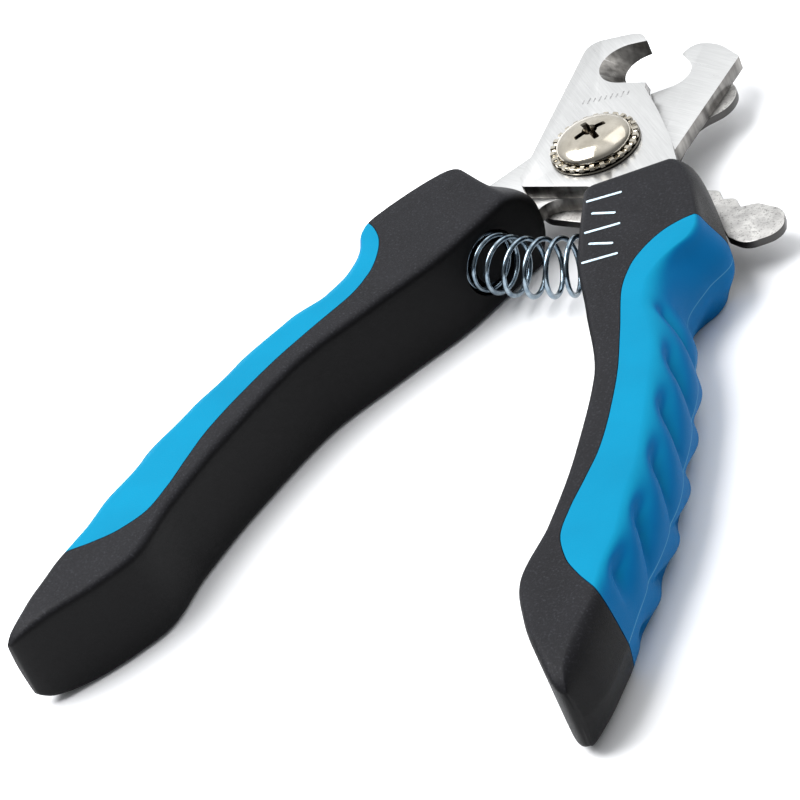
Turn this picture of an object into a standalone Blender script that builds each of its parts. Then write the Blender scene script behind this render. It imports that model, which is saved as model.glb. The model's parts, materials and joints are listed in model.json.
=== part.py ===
"""Scissor nail clipper for pets: two hooked blades on one pivot screw, two moulded handles, a bent
compression spring between them and a swinging plate that limits how much nail goes through.

Every lever is drawn closed, in millimetres, with the pivot axis at x = y = 0 and the plane where the
blades meet at z = 0. +Y points to the blade tips. The two levers are then turned apart by HALF_OPEN.
The whole object stands on z = 0, with the middle of its footprint at the origin.
"""

import math

import bpy
import bmesh
from mathutils import Matrix, Vector

MM = 0.001

# Driving dimensions, in millimetres and degrees
PIVOT = (0.0, 48.0, 9.5)
HALF_OPEN = 17.5
RUN_GAP = 0.1
MOULD_GAP = 0.25

BLADE_THICKNESS = 2.8
SHANK_RADIUS = 2.5
PIVOT_BORE = 2.8

MID_PLANE = -0.8
HALF_THICKNESS = 8.7
HANDLE_FRONT = 17.6
HANDLE_END = 138.8
FRONT_FADE = 38.0
FRONT_SLANT = 0.235
COVER_FRONT = 17.8
BLADE_SIDE_FRONT = 20.4
NOSE_FRONT = 14.6
NOSE_X = 5.0
INNER_FILLET = 1.5

GRIP_LEAN = 3.4
TONGUE_COVER = 6.0
TONGUE_FRONT = 39.3
TONGUE_STEP = 7.9
TONGUE_RINGS = 11

LOBE_PITCH = 12.0
LOBE_PHASE = 63.5
LOBE_SLANT = 8.0
LOBE_DEPTH = 2.1

WIRE_RADIUS = 0.475
COIL_RADIUS = 5.0
COIL_PITCH = 3.05
SEAT_STATION = 29.0
SEAT_FLOOR = 4.2
SEAT_RADIUS = 5.95
SEAT_PEG_RADIUS = 3.7

GUARD_TOP = -3.0
GUARD_THICKNESS = 1.5

# x of the handle's outlines at stations behind the pivot, when it is closed against the mid-line
INNER_WALL = [(15, 0.9), (36, 1.7), (52, 4.9), (70, 8.1), (88, 6.9), (104, 4.3), (116, 1.1),
              (124, 2.7), (134, 6.6), (140, 9.6)]
FLAT_END = [(15, 15.8), (24, 19.6), (31, 21.8), (35, 22.4), (38, 21.4), (41, 18.6), (44, 16.4),
            (49, 14.6), (53, 14.6), (60, 16.6), (68, 17.6), (82, 17.6), (92, 17.4), (100, 16.2),
            (108, 15.6), (115, 14.0), (122, 13.4), (127, 12.0), (131, 11.0), (135, 10.2), (138, 10.4),
            (140, 10.8)]
OUTER_MID = [(15, 18.4), (24, 22.4), (31, 25.2), (36, 26.5), (42, 22.8), (50, 19.9), (57, 21.9),
             (70, 23.2), (82, 22.9), (94, 22.4), (106, 20.4), (117, 18.1), (126, 16.6), (133, 14.8),
             (137, 12.8), (140, 10.4)]
UPPER_HEIGHT = [(15, 8.7), (129, 8.7), (134, 8.2), (137, 7.2), (138.8, 5.6), (140, 2.6)]

# Where the blue grip meets the black core on the flat faces: x and station
GRIP_EDGE = [(34, 31.2), (23, 32.2), (18.3, 34.2), (14.5, 38.2), (12.0, 43.5), (11.2, 49.5),
             (12.0, 60), (12.6, 71), (12.3, 80), (11.5, 88), (9.8, 95), (8.0, 101.5), (7.1, 107),
             (8.4, 112.4), (10.9, 116.6), (14.0, 120.4), (17.6, 125.2), (24, 132)]

COLOURS = {
    "blade_steel": ((0.62, 0.62, 0.61), 0.30, 1.0),
    "handle_black": ((0.030, 0.030, 0.035), 0.62, 0.0),
    "grip_blue": ((0.0, 0.36, 0.66), 0.60, 0.0),
    "screw_nickel": ((0.60, 0.57, 0.51), 0.14, 1.0),
    "guard_steel": ((0.50, 0.49, 0.48), 0.42, 1.0),
    "spring_steel": ((0.36, 0.39, 0.42), 0.18, 1.0),
}


def clear_scene():
    for obj in list(bpy.data.objects):
        bpy.data.objects.remove(obj, do_unlink=True)


def material(name):
    """The named finish, made once."""
    found = bpy.data.materials.get(name)
    if found:
        return found
    colour, roughness, metallic = COLOURS[name]
    made = bpy.data.materials.new(name)
    made.use_nodes = True
    shader = made.node_tree.nodes["Principled BSDF"]
    shader.inputs["Base Color"].default_value = (*colour, 1.0)
    shader.inputs["Roughness"].default_value = roughness
    shader.inputs["Metallic"].default_value = metallic
    return made


def curve_through(table):
    """A smooth function through (station, value) knots that never overshoots them."""
    xs = [float(x) for x, _ in table]
    ys = [float(y) for _, y in table]
    chords = [(ys[i + 1] - ys[i]) / (xs[i + 1] - xs[i]) for i in range(len(xs) - 1)]
    slopes = [chords[0]]
    for before, after in zip(chords, chords[1:]):
        same_way = before * after > 0
        slopes.append(2 * before * after / (before + after) if same_way else 0.0)
    slopes.append(chords[-1])

    def value(x):
        x = min(max(x, xs[0]), xs[-1])
        i = min(sum(1 for known in xs[1:-1] if known <= x), len(xs) - 2)
        span = xs[i + 1] - xs[i]
        t = (x - xs[i]) / span
        return (ys[i] * (1 + 2 * t) * (1 - t) ** 2 + slopes[i] * span * t * (1 - t) ** 2
                + ys[i + 1] * t * t * (3 - 2 * t) + slopes[i + 1] * span * t * t * (t - 1))

    return value


inner_wall = curve_through(INNER_WALL)
flat_end = curve_through(FLAT_END)
outer_mid = curve_through(OUTER_MID)
upper_height = curve_through(UPPER_HEIGHT)


def smoothstep(t):
    t = min(max(t, 0.0), 1.0)
    return t * t * (3 - 2 * t)


def lobe_cut(station, z, share):
    """How deep the finger lobes cut into the outer side, at a height above the mid-plane. share is
    that height as a share of the flat face's. A valley leans forward as it nears the flat face."""
    along = (station - LOBE_PHASE + LOBE_SLANT * abs(z) / 6.8) / LOBE_PITCH
    part = along - math.floor(along)
    valley = 1 - math.sin(math.pi * part ** 0.8) ** (0.7 + 1.1 * share * share)
    ends = smoothstep((station - 50) / 6) * smoothstep((121 - station) / 7)
    depth = LOBE_DEPTH * (0.3 + 0.7 * smoothstep(share / 0.55))
    return depth * valley * ends * smoothstep((0.99 - share) / 0.28)


def outer_reach(station, share):
    """How far the outer side stands out, from 0 at the flat face to 1 at the mid-plane. It is a full
    roll along the grip, a stepped flare at the knob and a slope at the tail."""
    knob = smoothstep((station - 23) / 7) * smoothstep((50 - station) / 10)
    tail = smoothstep((station - 112) / 12)
    roll = (1 - share ** 2.3) ** 0.56
    flare = 0.45 * (1 - share ** 4) ** 0.6 + 0.55 * smoothstep((0.85 - share) / 0.75)
    slope = 0.45 * (1 - share ** 4) ** 0.55 + 0.55 * (1 - share ** 1.2)
    return roll + knob * (flare - roll) + tail * (slope - roll)


def front_face(x, z, side):
    """The station of the front face at a height above the mid-plane. A shoulder stands over the
    lever's own blade and sits further back where the other blade sweeps past. A rounded nose
    comes forward of it round the blade."""
    share = min(abs(z) / HALF_THICKNESS, 1.0)
    cover = smoothstep((side * z + 2.0) / 4.0)
    shoulder = BLADE_SIDE_FRONT + (COVER_FRONT - BLADE_SIDE_FRONT) * cover
    shoulder += 0.9 * share ** 3 - FRONT_SLANT * x
    nose = NOSE_FRONT + 0.045 * (x - NOSE_X) ** 2 + 6.5 * share ** 3
    return -0.6 * math.log(math.exp(-shoulder / 0.6) + math.exp(-nose / 0.6))


def handle_point(x, station, z, side):
    """A point of a handle, drawn closed. The front rings follow the front face, and fade from it."""
    fade = smoothstep((FRONT_FADE - station) / (FRONT_FADE - HANDLE_FRONT))
    back = station + fade * (front_face(x, z, side) - HANDLE_FRONT)
    return Vector((x, -back, MID_PLANE + z))


def corner_inset(depth, radius):
    """How far a rounded corner has drawn in at a depth behind the face that it starts from."""
    left = max(0.0, 1 - depth / radius)
    return radius * (1 - math.sqrt(1 - left * left))


def half_section(station):
    """(x, z) from the inner wall round to the outer mid-plane, above the mid-plane."""
    depth = station - HANDLE_FRONT
    tail = HANDLE_END - station
    inner = inner_wall(station) + corner_inset(depth, 1.6) + 0.4 * corner_inset(tail, 2.5)
    outer = outer_mid(station) - corner_inset(depth, 3.0)
    flat = min(flat_end(station) - 0.6 * corner_inset(depth, 3.0), outer - 0.4)
    flat = max(flat, inner + 0.4)
    height = upper_height(station) - 0.6 * corner_inset(depth, 1.0)
    fillet = min(INNER_FILLET, 0.45 * (flat - inner))
    points = [(inner, 0.0), (inner, 0.5 * height), (inner, height - fillet),
              (inner + 0.29 * fillet, height - 0.29 * fillet), (inner + fillet, height),
              ((inner + fillet + flat) / 2, height), (flat, height)]
    for share in (0.97, 0.9, 0.79, 0.64, 0.44, 0.22, 0.0):
        dip = lobe_cut(station, height * share, share)
        reach = outer_reach(station, share)
        points.append((flat + (outer - flat) * reach - dip * reach ** 0.5,
                       height * share - 0.4 * dip * share))
    return points


def ring(station, side):
    """The closed section of a handle, from the inner mid-plane over the top and back below."""
    upper = half_section(station)
    lower = [(x, -z) for x, z in reversed(upper[1:-1])]
    return [handle_point(x, station, z, side) for x, z in upper + lower]


def front_face_rings(station, side):
    """Smaller copies of the first ring that fill the bulging front face."""
    outline = [(p.x, p.z - MID_PLANE) for p in ring(station, side)]
    middle = sum(x for x, _ in outline) / len(outline)
    for share in (0.1, 0.3, 0.5, 0.7, 0.87):
        yield [handle_point(middle + share * (x - middle), station, share * z, side)
               for x, z in outline]


def handle_stations():
    front = [HANDLE_FRONT + step for step in (0.0, 0.25, 0.9, 2.0, 4.0, 7.0, 10.5)]
    middle = [31.0 + 3.0 * i for i in range(32)]
    tail = [HANDLE_END - step for step in (12.0, 8.5, 6.0, 4.0, 2.4, 1.2, 0.4, 0.0)]
    return front + middle + tail


def mesh_object(name, points, faces, finish, lever=None, side=1, smooth=40):
    """An object from points in millimetres. side -1 mirrors it to the left lever."""
    mesh = bpy.data.meshes.new(name)
    placed = [(side * p[0] * MM, p[1] * MM, p[2] * MM) for p in points]
    mesh.from_pydata(placed, [], [f[::side] for f in faces])
    tidy = bmesh.new()
    tidy.from_mesh(mesh)
    bmesh.ops.recalc_face_normals(tidy, faces=tidy.faces)
    if tidy.calc_volume(signed=True) < 0:
        bmesh.ops.reverse_faces(tidy, faces=tidy.faces)
    tidy.to_mesh(mesh)
    tidy.free()
    mesh.shade_smooth()
    mesh.set_sharp_from_angle(angle=math.radians(smooth))
    obj = bpy.data.objects.new(name, mesh)
    bpy.context.scene.collection.objects.link(obj)
    obj.parent = lever
    if finish:
        mesh.materials.append(material(finish))
    return obj


def loft(rings):
    """(points, faces) of a closed skin over rings of equal length, with a fan at each end."""
    count = len(rings[0])
    points = [p for one in rings for p in one]
    faces = []
    for k in range(len(rings) - 1):
        for i in range(count):
            j = (i + 1) % count
            faces.append([k * count + i, k * count + j, (k + 1) * count + j, (k + 1) * count + i])
    for k, turned in ((0, 1), (len(rings) - 1, -1)):
        points.append(sum(rings[k], Vector()) / count)
        for i in range(count):
            face = [k * count + (i + 1) % count, k * count + i, len(points) - 1]
            faces.append(face[::turned])
    return points, faces


def prism(outline, low, high):
    """(points, faces) of a plan outline between two heights."""
    count = len(outline)
    points = [Vector((x, y, low)) for x, y in outline] + [Vector((x, y, high)) for x, y in outline]
    faces = [list(range(count)), list(range(count, 2 * count))]
    faces += [[i, (i + 1) % count, count + (i + 1) % count, count + i] for i in range(count)]
    return points, faces


def slanted_prism(low_outline, low, high_outline, high):
    """Like prism, with a different outline at each end."""
    points, faces = prism(low_outline, low, high)
    count = len(low_outline)
    points[count:] = [Vector((x, y, high)) for x, y in high_outline]
    return points, faces


def rounded(corners, step=15):
    """A plan outline through (x, y, radius) corners, each radius drawn as an arc."""
    outline = []
    for i, (x, y, radius) in enumerate(corners):
        here = Vector((x, y))
        back = Vector(corners[i - 1][:2]) - here
        ahead = Vector(corners[(i + 1) % len(corners)][:2]) - here
        turn = back.angle(ahead)
        if radius <= 0 or math.pi - turn < 0.02:
            outline.append((x, y))
            continue
        reach = min(radius / math.tan(turn / 2), 0.48 * min(back.length, ahead.length))
        fitted = reach * math.tan(turn / 2)
        bisector = (back.normalized() + ahead.normalized()).normalized()
        centre = here + bisector * (fitted / math.sin(turn / 2))
        start = here + back.normalized() * reach - centre
        swept = start.angle_signed(here + ahead.normalized() * reach - centre)
        pieces = max(2, math.ceil(abs(math.degrees(swept)) / step))
        for k in range(pieces + 1):
            spoke = start.copy()
            spoke.rotate(Matrix.Rotation(-swept * k / pieces, 2))
            outline.append(tuple(centre + spoke))
    return outline


def circle(x, y, radius, count=24):
    return [(x + radius * math.cos(2 * math.pi * i / count),
             y + radius * math.sin(2 * math.pi * i / count)) for i in range(count)]


def turned(profile, count=32):
    """(points, faces) of a closed (radius, z) profile turned about the pivot axis. A profile that
    ends on the axis at both ends makes a solid, and any other makes a ring."""
    solid = profile[0][0] == 0 and profile[-1][0] == 0
    rims = profile[1:-1] if solid else profile
    points, faces = [], []
    for radius, z in rims:
        points += [Vector((x, y, z)) for x, y in circle(0, 0, radius, count)]
    rows = len(rims)
    for k in range(rows - 1 if solid else rows):
        for i in range(count):
            j = (i + 1) % count
            over = (k + 1) % rows
            faces.append([k * count + i, k * count + j, over * count + j, over * count + i])
    if solid:
        for k, z in ((0, profile[0][1]), (rows - 1, profile[-1][1])):
            points.append(Vector((0, 0, z)))
            faces += [[k * count + (i + 1) % count, k * count + i, len(points) - 1]
                      for i in range(count)]
    return points, faces


def cutter(name, shape, lever=None, side=1):
    """A helper that isn't part of the object."""
    obj = mesh_object(name, *shape, None, lever, side)
    obj.hide_render = True
    obj.display_type = "WIRE"
    return obj


def cut(obj, tool, operation="DIFFERENCE"):
    """Applies a Boolean at once, so that later cuts see its result."""
    modifier = obj.modifiers.new(tool.name, "BOOLEAN")
    modifier.object = tool
    modifier.operation = operation
    modifier.solver = "EXACT"
    bpy.context.view_layer.update()
    evaluated = obj.evaluated_get(bpy.context.evaluated_depsgraph_get())
    mesh = bpy.data.meshes.new_from_object(evaluated)
    obj.modifiers.clear()
    obj.data = mesh
    mesh.shade_smooth()
    mesh.set_sharp_from_angle(angle=math.radians(40))


def notch(x, y, radius, lower_flare, upper_flare, mouth=26.0):
    """The plan of a nail notch: part of a circle that opens to +X, each lip leaning by its flare."""
    first, last = 90 + upper_flare, 270 - lower_flare
    steps = 12
    arc = [math.radians(first + (last - first) * i / steps) for i in range(steps + 1)]
    outline = [(x + radius * math.cos(a), y + radius * math.sin(a)) for a in arc]
    run = mouth - outline[-1][0]
    outline.append((mouth, outline[-1][1] - run * math.tan(math.radians(lower_flare))))
    run = mouth - outline[0][0]
    outline.append((mouth, outline[0][1] + run * math.tan(math.radians(upper_flare))))
    return outline


TANG = [(17.1, -17.6, 0.8), (14.6, -19.6, 1.0), (11.6, -30.0, 8.0), (10.0, -44.0, 8.0),
        (11.2, -60.0, 1.2), (8.8, -60.0, 1.2), (7.2, -44.0, 8.0), (5.7, -30.0, 8.0),
        (5.2, -21.0, 1.0), (2.1, -19.0, 0.6)]
UPPER_HEAD = [(2.1, -12.1, 4.0), (-13.0, -7.4, 1.0), (-13.7, -4.9, 2.0), (-4.9, 33.3, 3.6),
              (5.3, 33.3, 3.0), (7.5, 28.0, 0.0), (7.6, 15.2, 0.4), (11.0, 6.6, 30.0),
              (14.0, -2.4, 30.0), (17.1, -15.0, 1.0)]
LOWER_HEAD = [(2.1, -12.1, 4.0), (-14.0, -6.6, 1.0), (-14.7, -4.4, 2.0), (-6.1, 32.6, 0.6),
              (0.4, 34.6, 8.0), (5.5, 33.4, 2.8), (5.6, 28.0, 0.0), (7.6, 15.2, 0.4),
              (11.0, 6.6, 30.0), (14.0, -2.4, 30.0), (17.1, -15.0, 1.0)]
TANG_POSTS = [(8.9, -25.0, 1.9), (8.4, -39.0, 1.2)]


def widened(outline, spread):
    """The outline with every side moved outward by spread."""
    count = len(outline)
    corners = [Vector(p) for p in outline]
    area = sum(corners[i - 1].x * corners[i].y - corners[i].x * corners[i - 1].y for i in range(count))
    moved = []
    for i, here in enumerate(corners):
        before = (here - corners[i - 1]).normalized()
        after = (corners[(i + 1) % count] - here).normalized()
        run = (before + after).normalized()
        reach = math.copysign(spread, area) / max(0.5, run.dot(after))
        moved.append((here.x + run.y * reach, here.y - run.x * reach))
    return moved


def tang_slot(name, low, high, lever, side):
    """The room that the core leaves round a tang, with a plastic post through each tang hole."""
    outline = rounded(TANG + [(2.1, -8.0, 0), (17.1, -8.0, 0)])
    room = prism(widened(outline, MOULD_GAP), low - MOULD_GAP, high + MOULD_GAP)
    slot = cutter(name, room, lever, side)
    for i, (x, y, radius) in enumerate(TANG_POSTS):
        post = prism(circle(x, y, radius - MOULD_GAP), low - 1, high + 1)
        cut(slot, cutter(f"{name}_post_{i}", post, lever, side))
    return slot


def make_blade(name, head, low, high, notches, lever, side):
    """A blade with its tang, between two heights. notches are its plans at those heights."""
    blade = mesh_object(name, *prism(rounded(head + TANG), low, high), "blade_steel", lever, side)
    (x0, y0, r0), (x1, y1, r1), flares = notches
    over = 0.5
    dx, dr = (x1 - x0) * over, (r1 - r0) * over
    bevel = slanted_prism(notch(x0 - dx, y0, r0 - dr, *flares), low - over * (high - low),
                          notch(x1 + dx, y1, r1 + dr, *flares), high + over * (high - low))
    cut(blade, cutter(name + "_notch", bevel, lever, side))
    holes = [(0.0, 0.0, PIVOT_BORE)] + TANG_POSTS
    for i, (x, y, radius) in enumerate(holes):
        drill = prism(circle(x, y, radius, 32), low - 1, high + 1)
        cut(blade, cutter(f"{name}_hole_{i}", drill, lever, side))
    return blade


def grip_outline(shift):
    """The plan of the grip's reach, drawn smooth through GRIP_EDGE. shift moves its front back."""
    pieces = 4
    last = pieces * (len(GRIP_EDGE) - 1)
    across = curve_through([(pieces * i, x) for i, (x, _) in enumerate(GRIP_EDGE)])
    along = curve_through([(pieces * i, station) for i, (_, station) in enumerate(GRIP_EDGE)])
    outline = [(across(k), -along(k) - shift * smoothstep((70 - along(k)) / 30))
               for k in range(last + 1)]
    return outline + [(48.0, outline[-1][1]), (48.0, outline[0][1])]


def grip_reach(side, spread=0.0):
    """(points, faces) of the space that the grip fills. Its front edge leans, and sits further back
    on the face that the other lever's blade passes."""
    low, high = (grip_outline(GRIP_LEAN), grip_outline(0.0))[::side]
    reach = HALF_THICKNESS + 1.0
    return slanted_prism(widened(low, spread), MID_PLANE - reach,
                         widened(high, spread), MID_PLANE + reach)


def tongue(spread=0.0):
    """The part of the core that reaches under the grip, as a loft of eight-sided rings."""
    rings = []
    for i in range(TONGUE_RINGS):
        station = TONGUE_FRONT + TONGUE_STEP * i
        ends = {0: -spread, TONGUE_RINGS - 1: spread}
        place = station + ends.get(i, 0.0)
        low = inner_wall(station) + 3.0
        high = outer_mid(station) - TONGUE_COVER + spread
        half = 4.8 + spread
        corners = [(low, half), (high - 2.0, half), (high, half - 2.0), (high, 2.0 - half),
                   (high - 2.0, -half), (low, -half)]
        rings.append([Vector((x, -place, MID_PLANE + z)) for x, z in corners])
    return loft(rings)


def spring_seat(name, lever, side):
    """The ring-shaped groove that the spring's end sits in, round a moulded peg."""
    reach = 12.0
    groove = turned([(SEAT_PEG_RADIUS, 0.0), (SEAT_RADIUS, 0.0), (SEAT_RADIUS, reach),
                     (SEAT_PEG_RADIUS, reach)])
    lie = Matrix.Rotation(math.radians(-90), 4, "Y")
    points = [Vector((SEAT_FLOOR, -SEAT_STATION, MID_PLANE)) + lie @ p for p in groove[0]]
    return cutter(name, (points, groove[1]), lever, side)


def make_handle(word, blade_low, blade_high, lever, side):
    """A black core and the blue grip over its outer side."""
    stations = handle_stations()
    rings = list(front_face_rings(stations[0], side)) + [ring(s, side) for s in stations]
    body = loft(rings)
    core = mesh_object(f"{word}_handle_core", *body, "handle_black", lever, side)
    grip = mesh_object(f"{word}_grip", *body, "grip_blue", lever, side)
    cut(grip, cutter(f"{word}_grip_reach", grip_reach(side), lever, side), "INTERSECT")
    cut(grip, cutter(f"{word}_tongue_room", tongue(MOULD_GAP), lever, side))
    cut(core, cutter(f"{word}_grip_room", grip_reach(side, MOULD_GAP), lever, side))
    cut(core, cutter(f"{word}_tongue", tongue(), lever, side), "UNION")
    cut(core, tang_slot(f"{word}_tang_slot", blade_low, blade_high, lever, side))
    cut(core, spring_seat(f"{word}_spring_seat", lever, side))
    return core, grip


def make_screw():
    """The domed cross-head screw, its head turned to lie as it was tightened."""
    top, rim, dome = 4.05, 0.15, 2.5
    radius = 6.95
    arc = [(radius * math.cos(a), top + rim + dome * math.sin(a))
           for a in (math.radians(9 * i) for i in range(10))]
    profile = [(0, -9.1), (SHANK_RADIUS - 0.4, -9.1), (SHANK_RADIUS, -8.7), (SHANK_RADIUS, top),
               (radius, top)] + arc[:-1] + [(0, arc[-1][1])]
    screw = mesh_object("pivot_screw", *turned(profile, 40), "screw_nickel")
    crest = top + rim + dome
    for i in range(2):
        turn = math.radians(41 + 90 * i)
        bar = [Vector(p) for p in ((-3.05, -0.55), (3.05, -0.55), (3.05, 0.55), (-3.05, 0.55))]
        for corner in bar:
            corner.rotate(Matrix.Rotation(-turn, 2))
        cut(screw, cutter(f"recess_{i}", prism([tuple(p) for p in bar], crest - 1.9, crest + 1)))
    well = turned([(0, crest - 2.6), (0.5, crest - 2.6), (1.5, crest + 1), (0, crest + 1)], 20)
    cut(screw, cutter("recess_well", well))
    return screw


def make_toothed_washer():
    """A ring with a crown of short radial teeth, which grips the head against the blade."""
    teeth = 26
    base = turned([(2.9, 3.5), (8.15, 3.5), (8.15, 3.85), (2.9, 3.85)], 52)
    washer = mesh_object("toothed_washer", *base, "screw_nickel")
    points, faces = [], []
    half = math.pi / teeth * 0.5
    for i in range(teeth):
        turn = 2 * math.pi * i / teeth
        plan = [(r * math.cos(turn + a), r * math.sin(turn + a))
                for r, a in ((7.15, -half), (8.1, -half), (8.1, half), (7.15, half))]
        more, sides = prism(plan, 3.7, 4.25)
        faces += [[len(points) + k for k in side] for side in sides]
        points += more
    cut(washer, cutter("teeth", (points, faces)), "UNION")
    return washer


def make_washer(name, inner, outer, low, high, finish):
    profile = [(inner, low), (outer, low), (outer, high), (inner, high)]
    return mesh_object(name, *turned(profile, 40), finish)


def make_nut():
    """A hexagon nut under the guard, with chamfered corners."""
    low, high, flats = -8.8, -5.3, 8.0
    hexagon = circle(0, 0, flats / math.sqrt(3), 6)
    nut = mesh_object("pivot_nut", *prism(hexagon, low, high), "screw_nickel")
    chamfer = turned([(0, low), (3.9, low), (4.7, low + 0.5), (4.7, high - 0.5), (3.9, high),
                      (0, high)], 36)
    cut(nut, cutter("nut_chamfer", chamfer), "INTERSECT")
    bore = prism(circle(0, 0, SHANK_RADIUS + 0.2, 32), low - 1, high + 1)
    cut(nut, cutter("nut_bore", bore))
    return nut


STOP_TIP = (11.2, 20.4, 6.0)
HUB = [(3.9, 15.2, 5.0), (-6.0, 12.2, 6.0), (-12.2, 4.0, 6.0), (-11.4, -8.2, 5.0),
       (-6.6, -12.8, 5.0), (3.0, -14.0, 5.0), (9.4, -10.8, 4.0)]
TAB = [(19.0, -8.8, 2.0), (24.2, -8.8, 1.2), (31.0, -17.4, 1.5), (35.0, -19.2, 4.5),
       (40.9, -15.6, 5.0), (38.8, -9.8, 4.0), (33.0, -8.2, 2.0), (30.2, -9.3, 0.3),
       (28.4, -7.0, 1.4), (26.0, -7.2, 0.3), (24.4, -5.0, 1.4), (21.6, -4.9, 0.5),
       (14.5, -4.5, 2.0), (12.6, 4.0, 4.0), (12.1, 11.6, 3.0)]


def guard_outline():
    """The guard's plan: a hub, a round-ended stop arm and the stepped thumb tab."""
    x, y, radius = STOP_TIP
    reach = radius / math.cos(math.radians(22.5))
    angles = [math.radians(turn - 67.5) for turn in range(0, 270, 45)]
    tip = [(x + reach * math.cos(a), y + reach * math.sin(a), radius) for a in angles]
    return rounded(tip + HUB + TAB)


def make_guard():
    """The stop plate under the blades, with a thumb tab. Drawn at rest, with the tab by the handle."""
    low = GUARD_TOP - GUARD_THICKNESS
    guard = mesh_object("nail_guard", *prism(guard_outline(), low, GUARD_TOP), "guard_steel")
    bore = prism(circle(0, 0, PIVOT_BORE, 32), low - 1, GUARD_TOP + 1)
    cut(guard, cutter("guard_bore", bore))
    return guard


def make_spring():
    """A compression spring that bends in an arc from one seat to the other."""
    half = math.radians(HALF_OPEN)
    seat_x = SEAT_FLOOR - 0.3 - WIRE_RADIUS
    end = Vector((seat_x * math.cos(half) + SEAT_STATION * math.sin(half),
                  seat_x * math.sin(half) - SEAT_STATION * math.cos(half)))
    bend = end.x / math.sin(half)
    centre_y = end.y + bend * math.cos(half)
    length = 2 * half * bend
    closed_turns = 0.9
    closed_pitch = 2 * WIRE_RADIUS + 0.12
    open_turns = (length - 2 * closed_turns * closed_pitch) / COIL_PITCH
    turns = open_turns + 2 * closed_turns
    per_turn = 16
    advance = curve_through([(0, 0), (closed_turns, closed_turns * closed_pitch),
                             (turns - closed_turns, length - closed_turns * closed_pitch),
                             (turns, length)])
    path = []
    for i in range(math.floor(turns * per_turn) + 1):
        angle = 2 * math.pi * i / per_turn + math.radians(200)
        swing = advance(i / per_turn) / bend - half
        out = Vector((math.sin(swing), -math.cos(swing), 0))
        middle = Vector((0, centre_y, MID_PLANE)) + out * bend
        path.append(middle + out * COIL_RADIUS * math.cos(angle)
                    + Vector((0, 0, COIL_RADIUS * math.sin(angle))))
    curve = bpy.data.curves.new("return_spring", "CURVE")
    curve.dimensions = "3D"
    curve.bevel_depth = WIRE_RADIUS * MM
    curve.bevel_resolution = 1
    curve.use_fill_caps = True
    line = curve.splines.new("POLY")
    line.points.add(len(path) - 1)
    for point, place in zip(line.points, path):
        point.co = (*(place * MM), 1.0)
    curve.materials.append(material("spring_steel"))
    spring = bpy.data.objects.new("return_spring", curve)
    bpy.context.scene.collection.objects.link(spring)
    return spring


def lever_empty(name, turn):
    """An empty on the pivot axis that a lever's pieces hang from."""
    empty = bpy.data.objects.new(name, None)
    bpy.context.scene.collection.objects.link(empty)
    empty.rotation_euler.z = math.radians(turn)
    return empty


def main():
    clear_scene()
    upper = lever_empty("upper_lever", HALF_OPEN)
    lower = lever_empty("lower_lever", -HALF_OPEN)
    make_blade("upper_blade", UPPER_HEAD, RUN_GAP, BLADE_THICKNESS,
               ((7.9, 23.7, 5.6), (4.0, 24.2, 5.9), (17, 0)), upper, 1)
    make_blade("lower_blade", LOWER_HEAD, -BLADE_THICKNESS, -RUN_GAP,
               ((1.6, 24.2, 5.1), (4.7, 24.2, 4.7), (50, 25)), lower, -1)
    make_handle("right", RUN_GAP, BLADE_THICKNESS, upper, 1)
    make_handle("left", -BLADE_THICKNESS, -RUN_GAP, lower, -1)
    make_screw()
    make_toothed_washer()
    make_washer("flat_washer", 2.8, 8.3, 2.95, 3.3, "screw_nickel")
    make_washer("friction_washer", 2.8, 6.4, -5.1, -4.65, "screw_nickel")
    make_nut()
    make_guard()
    make_spring()
    for obj in bpy.data.objects:
        if obj.parent is None:
            obj.location = Vector(PIVOT) * MM


main()
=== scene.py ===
import json
import math

import bmesh
import bpy
from mathutils import Matrix, Vector


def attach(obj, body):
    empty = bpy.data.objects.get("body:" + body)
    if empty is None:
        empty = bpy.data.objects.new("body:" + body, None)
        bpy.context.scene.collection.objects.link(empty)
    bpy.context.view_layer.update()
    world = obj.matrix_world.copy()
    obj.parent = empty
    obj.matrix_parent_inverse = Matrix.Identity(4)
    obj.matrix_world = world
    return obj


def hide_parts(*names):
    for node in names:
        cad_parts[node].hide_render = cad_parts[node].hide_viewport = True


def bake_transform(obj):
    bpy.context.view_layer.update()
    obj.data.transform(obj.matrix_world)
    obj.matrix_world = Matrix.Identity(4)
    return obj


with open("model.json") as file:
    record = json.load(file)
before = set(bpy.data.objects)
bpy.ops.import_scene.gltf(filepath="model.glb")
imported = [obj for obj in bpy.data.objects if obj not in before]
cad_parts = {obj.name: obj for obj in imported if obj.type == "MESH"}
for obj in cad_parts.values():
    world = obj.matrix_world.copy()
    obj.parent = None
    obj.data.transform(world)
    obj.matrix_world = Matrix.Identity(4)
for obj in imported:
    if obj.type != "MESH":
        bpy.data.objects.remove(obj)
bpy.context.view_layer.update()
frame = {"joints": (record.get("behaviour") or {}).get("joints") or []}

mm = 0.001
pivot = Vector(frame["joints"][0]["pos_m"]) / mm  # both levers and the guard turn about this point

# Everything is drawn closed, in millimetres, with the pivot at zero and +Y to the blade tips.
# A lever's side mirrors it, and its turn opens it.
levers = {
    "right": {"side": 1, "turn": 17.5, "body": "upper_lever"},
    "left": {"side": -1, "turn": -17.5, "body": "lower_lever"},
    "stack": {"side": 1, "turn": 0.0, "body": "upper_lever"},
    "guard": {"side": 1, "turn": 0.0, "body": "guard"},
}


def smoothstep(t):
    t = min(max(t, 0.0), 1.0)
    return t * t * (3 - 2 * t)


def between(station, first, full, last, end):
    # rises from 0 at first to 1 at full, and falls from 1 at last to 0 at end
    return smoothstep((station - first) / (full - first)) * smoothstep((end - station) / (end - last))


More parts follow.
